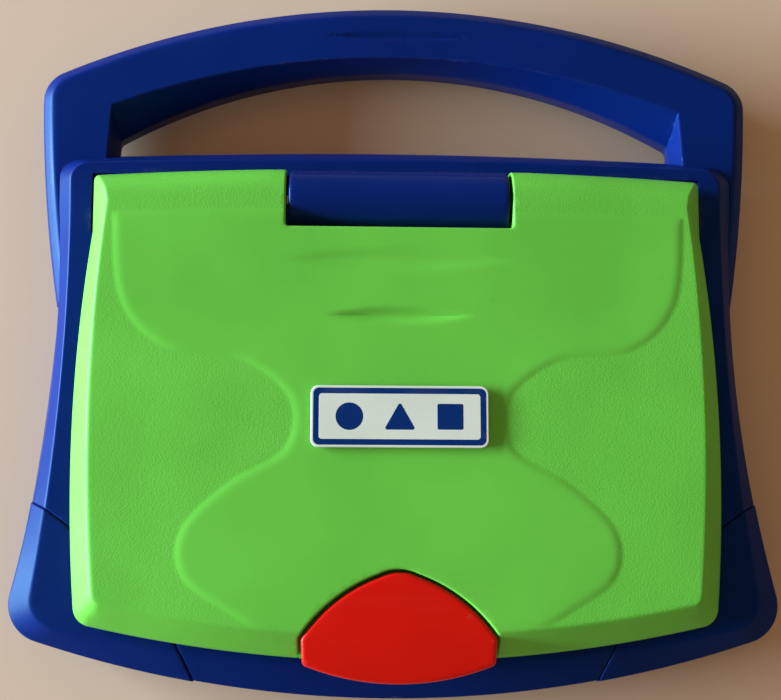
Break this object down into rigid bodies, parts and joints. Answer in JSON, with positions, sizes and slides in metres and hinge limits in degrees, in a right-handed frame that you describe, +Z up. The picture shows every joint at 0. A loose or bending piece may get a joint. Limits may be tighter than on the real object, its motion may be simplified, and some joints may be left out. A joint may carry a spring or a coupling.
{
  "type": "toy laptop computer",
  "caption": "Closed toy laptop with a bowed clamshell lid, spring latch, letter keys inside and an arched carrying handle behind the hinge.",
  "frame": {"origin": "middle of the bounding box in plan, on the surface the feet stand on", "axes": "+X across to the right as the user sits, +Y from the latch towards the carrying handle, +Z up"},
  "size_m": [0.3, 0.2795, 0.0518],
  "materials": {
    "base_plastic": "navy blue moulded plastic, satin",
    "panel_plastic": "pale grey moulded plastic, fine texture",
    "lid_plastic": "lime green moulded plastic, part smooth and part sand-textured",
    "latch_plastic": "red moulded plastic, semi-gloss",
    "badge_plastic": "printed cream label plate",
    "clear_pane": "clear moulded pane",
    "display_glass": "grey-green liquid crystal display",
    "circuit_board": "green solder mask",
    "dome_rubber": "translucent grey silicone",
    "foot_rubber": "black rubber",
    "steel": "plated steel",
    "battery_jacket": "plain dark cell jacket",
    "speaker_black": "black",
    "key_white": "warm white key cap",
    "key_red": "red key cap",
    "key_orange": "orange key cap",
    "key_green": "green key cap"
  },
  "bodies": {
    "base": {"battery_cells": "battery_jacket", "battery_contacts": "steel", "battery_door": "base_plastic", "battery_door_screw": "steel", "case_screws": "steel", "corner_cap_left": "base_plastic", "corner_cap_right": "base_plastic", "handle_lower_half": "base_plastic", "handle_screws": "steel", "handle_upper_half": "base_plastic", "hinge_block": "base_plastic", "hinge_pins": "steel", "key_dome_mat": "dome_rubber", "keyboard_panel": "panel_plastic", "lower_case": "base_plastic", "main_board": "circuit_board", "rubber_feet": "foot_rubber", "speaker": "speaker_black", "upper_case": "base_plastic"},
    "lid": {"lid_shell": "lid_plastic", "screen_bezel": "panel_plastic", "screen_window": "clear_pane", "lcd_panel": "display_glass", "display_board": "circuit_board", "lid_badge": "badge_plastic", "lid_screws": "steel", "lid_bumpers": "foot_rubber", "latch_pin": "steel", "latch_spring": "steel"},
    "latch": {"latch_button": "latch_plastic"},
    "key_a": {"key_a": "key_white"},
    "key_b": {"key_b": "key_white"},
    "key_c": {"key_c": "key_white"},
    "key_d": {"key_d": "key_white"},
    "key_e": {"key_e": "key_white"},
    "key_enter": {"key_enter": "key_red"},
    "key_erase": {"key_erase": "key_orange"},
    "key_f": {"key_f": "key_white"},
    "key_g": {"key_g": "key_white"},
    "key_h": {"key_h": "key_white"},
    "key_i": {"key_i": "key_white"},
    "key_j": {"key_j": "key_white"},
    "key_k": {"key_k": "key_white"},
    "key_l": {"key_l": "key_white"},
    "key_m": {"key_m": "key_white"},
    "key_n": {"key_n": "key_white"},
    "key_o": {"key_o": "key_white"},
    "key_p": {"key_p": "key_white"},
    "key_power": {"key_power": "key_red"},
    "key_q": {"key_q": "key_white"},
    "key_r": {"key_r": "key_white"},
    "key_s": {"key_s": "key_white"},
    "key_space": {"key_space": "key_green"},
    "key_t": {"key_t": "key_white"},
    "key_u": {"key_u": "key_white"},
    "key_v": {"key_v": "key_white"},
    "key_w": {"key_w": "key_white"},
    "key_x": {"key_x": "key_white"},
    "key_y": {"key_y": "key_white"},
    "key_z": {"key_z": "key_white"}
  },
  "joints": [
    {"name": "lid_hinge", "type": "hinge", "parent": "base", "child": "lid", "pos_m": [0, 0.052, 0.038], "axis": [-1, 0, 0], "range_deg": [0, 115]},
    {"name": "latch_pivot", "type": "hinge", "parent": "lid", "child": "latch", "pos_m": [0, -0.105, 0.0438], "axis": [-1, 0, 0], "range_deg": [0, 14], "stiffness_Nm_per_rad": 0.05, "springref_deg": -11.46},
    {"name": "press_a", "type": "slide", "parent": "base", "child": "key_a", "axis": [0, 0, -1], "range_m": [0, 0.0016], "stiffness_N_per_m": 200, "springref_m": -0.001},
    {"name": "press_b", "type": "slide", "parent": "base", "child": "key_b", "axis": [0, 0, -1], "range_m": [0, 0.0016], "stiffness_N_per_m": 200, "springref_m": -0.001},
    {"name": "press_c", "type": "slide", "parent": "base", "child": "key_c", "axis": [0, 0, -1], "range_m": [0, 0.0016], "stiffness_N_per_m": 200, "springref_m": -0.001},
    {"name": "press_d", "type": "slide", "parent": "base", "child": "key_d", "axis": [0, 0, -1], "range_m": [0, 0.0016], "stiffness_N_per_m": 200, "springref_m": -0.001},
    {"name": "press_e", "type": "slide", "parent": "base", "child": "key_e", "axis": [0, 0, -1], "range_m": [0, 0.0016], "stiffness_N_per_m": 200, "springref_m": -0.001},
    {"name": "press_enter", "type": "slide", "parent": "base", "child": "key_enter", "axis": [0, 0, -1], "range_m": [0, 0.0016], "stiffness_N_per_m": 200, "springref_m": -0.001},
    {"name": "press_erase", "type": "slide", "parent": "base", "child": "key_erase", "axis": [0, 0, -1], "range_m": [0, 0.0016], "stiffness_N_per_m": 200, "springref_m": -0.001},
    {"name": "press_f", "type": "slide", "parent": "base", "child": "key_f", "axis": [0, 0, -1], "range_m": [0, 0.0016], "stiffness_N_per_m": 200, "springref_m": -0.001},
    {"name": "press_g", "type": "slide", "parent": "base", "child": "key_g", "axis": [0, 0, -1], "range_m": [0, 0.0016], "stiffness_N_per_m": 200, "springref_m": -0.001},
    {"name": "press_h", "type": "slide", "parent": "base", "child": "key_h", "axis": [0, 0, -1], "range_m": [0, 0.0016], "stiffness_N_per_m": 200, "springref_m": -0.001},
    {"name": "press_i", "type": "slide", "parent": "base", "child": "key_i", "axis": [0, 0, -1], "range_m": [0, 0.0016], "stiffness_N_per_m": 200, "springref_m": -0.001},
    {"name": "press_j", "type": "slide", "parent": "base", "child": "key_j", "axis": [0, 0, -1], "range_m": [0, 0.0016], "stiffness_N_per_m": 200, "springref_m": -0.001},
    {"name": "press_k", "type": "slide", "parent": "base", "child": "key_k", "axis": [0, 0, -1], "range_m": [0, 0.0016], "stiffness_N_per_m": 200, "springref_m": -0.001},
    {"name": "press_l", "type": "slide", "parent": "base", "child": "key_l", "axis": [0, 0, -1], "range_m": [0, 0.0016], "stiffness_N_per_m": 200, "springref_m": -0.001},
    {"name": "press_m", "type": "slide", "parent": "base", "child": "key_m", "axis": [0, 0, -1], "range_m": [0, 0.0016], "stiffness_N_per_m": 200, "springref_m": -0.001},
    {"name": "press_n", "type": "slide", "parent": "base", "child": "key_n", "axis": [0, 0, -1], "range_m": [0, 0.0016], "stiffness_N_per_m": 200, "springref_m": -0.001},
    {"name": "press_o", "type": "slide", "parent": "base", "child": "key_o", "axis": [0, 0, -1], "range_m": [0, 0.0016], "stiffness_N_per_m": 200, "springref_m": -0.001},
    {"name": "press_p", "type": "slide", "parent": "base", "child": "key_p", "axis": [0, 0, -1], "range_m": [0, 0.0016], "stiffness_N_per_m": 200, "springref_m": -0.001},
    {"name": "press_power", "type": "slide", "parent": "base", "child": "key_power", "axis": [0, 0, -1], "range_m": [0, 0.0016], "stiffness_N_per_m": 200, "springref_m": -0.001},
    {"name": "press_q", "type": "slide", "parent": "base", "child": "key_q", "axis": [0, 0, -1], "range_m": [0, 0.0016], "stiffness_N_per_m": 200, "springref_m": -0.001},
    {"name": "press_r", "type": "slide", "parent": "base", "child": "key_r", "axis": [0, 0, -1], "range_m": [0, 0.0016], "stiffness_N_per_m": 200, "springref_m": -0.001},
    {"name": "press_s", "type": "slide", "parent": "base", "child": "key_s", "axis": [0, 0, -1], "range_m": [0, 0.0016], "stiffness_N_per_m": 200, "springref_m": -0.001},
    {"name": "press_space", "type": "slide", "parent": "base", "child": "key_space", "axis": [0, 0, -1], "range_m": [0, 0.0016], "stiffness_N_per_m": 200, "springref_m": -0.001},
    {"name": "press_t", "type": "slide", "parent": "base", "child": "key_t", "axis": [0, 0, -1], "range_m": [0, 0.0016], "stiffness_N_per_m": 200, "springref_m": -0.001},
    {"name": "press_u", "type": "slide", "parent": "base", "child": "key_u", "axis": [0, 0, -1], "range_m": [0, 0.0016], "stiffness_N_per_m": 200, "springref_m": -0.001},
    {"name": "press_v", "type": "slide", "parent": "base", "child": "key_v", "axis": [0, 0, -1], "range_m": [0, 0.0016], "stiffness_N_per_m": 200, "springref_m": -0.001},
    {"name": "press_w", "type": "slide", "parent": "base", "child": "key_w", "axis": [0, 0, -1], "range_m": [0, 0.0016], "stiffness_N_per_m": 200, "springref_m": -0.001},
    {"name": "press_x", "type": "slide", "parent": "base", "child": "key_x", "axis": [0, 0, -1], "range_m": [0, 0.0016], "stiffness_N_per_m": 200, "springref_m": -0.001},
    {"name": "press_y", "type": "slide", "parent": "base", "child": "key_y", "axis": [0, 0, -1], "range_m": [0, 0.0016], "stiffness_N_per_m": 200, "springref_m": -0.001},
    {"name": "press_z", "type": "slide", "parent": "base", "child": "key_z", "axis": [0, 0, -1], "range_m": [0, 0.0016], "stiffness_N_per_m": 200, "springref_m": -0.001}
  ]
}
